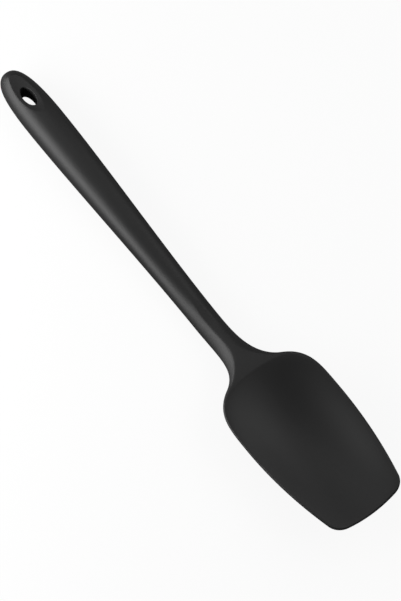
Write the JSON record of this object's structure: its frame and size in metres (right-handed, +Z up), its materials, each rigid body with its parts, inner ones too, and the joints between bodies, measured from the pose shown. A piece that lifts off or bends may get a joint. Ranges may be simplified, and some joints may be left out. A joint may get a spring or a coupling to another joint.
{
  "type": "silicone spoon",
  "caption": "Flat-ended scoop spoon of matt black silicone moulded over a stainless core, with a slim neck, a thin-lipped scoop and an oval hanging hole in a dished end.",
  "frame": {"origin": "middle of the bounding box in plan, on the table that the spoon lies on", "axes": "+X along the spoon from the handle's butt to the scoop's tip, +Y across it, +Z up out of the open scoop"},
  "size_m": [0.28, 0.0518, 0.02],
  "materials": {
    "silicone": "matt, smooth moulded",
    "plug_silicone": "matt, smooth moulded",
    "stainless": "as rolled"
  },
  "bodies": {
    "root": {"silicone_skin": "silicone", "steel_core": "stainless", "palm_plug": "plug_silicone", "neck_plug": "plug_silicone"}
  },
  "joints": []
}
